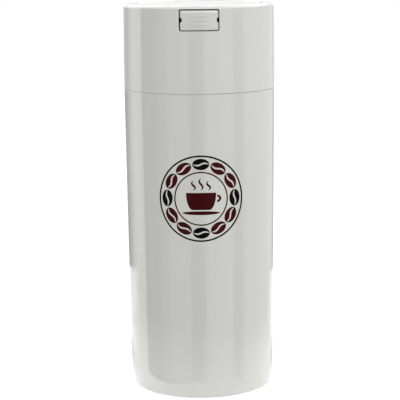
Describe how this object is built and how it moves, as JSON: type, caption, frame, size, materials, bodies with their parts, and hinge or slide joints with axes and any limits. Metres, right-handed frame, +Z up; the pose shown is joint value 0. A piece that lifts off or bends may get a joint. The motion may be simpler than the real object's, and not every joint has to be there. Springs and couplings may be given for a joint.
{
  "type": "coffee canister",
  "caption": "Tall tapered coffee canister with a deep push-on lid, a wiper ring round its neck, and a sprung push-button air valve in the lid's side.",
  "frame": {"origin": "centre of the foot, on the surface the canister stands on", "axes": "+Z up along the canister's axis; -Y towards the front, where the valve's button is; +X to the right as seen from the front"},
  "size_m": [0.101, 0.101, 0.259],
  "materials": {
    "body_plastic": "gloss",
    "lid_plastic": "gloss",
    "button_plastic": "gloss",
    "stem_plastic": "satin",
    "seal_silicone": "satin",
    "disc_silicone": "matte",
    "spring_steel": "drawn"
  },
  "bodies": {
    "container": {"body": "body_plastic"},
    "seal": {"neck_seal": "seal_silicone"},
    "lid": {"lid_shell": "lid_plastic", "return_spring": "spring_steel"},
    "button": {"push_button": "button_plastic", "valve_stem": "stem_plastic", "valve_disc": "disc_silicone"}
  },
  "joints": [
    {"name": "lid_turn", "type": "hinge", "parent": "container", "child": "seal", "pos_m": [0, 0, 0.2336], "axis": [0, 0, 1], "continuous": true},
    {"name": "lid_lift", "type": "slide", "parent": "seal", "child": "lid", "axis": [0, 0, 1], "range_m": [0, 0.12]},
    {"name": "button_press", "type": "slide", "parent": "lid", "child": "button", "axis": [0, 1, 0], "range_m": [0, 0.004], "stiffness_N_per_m": 700, "springref_m": -0.004, "deforming": ["return_spring"]}
  ]
}
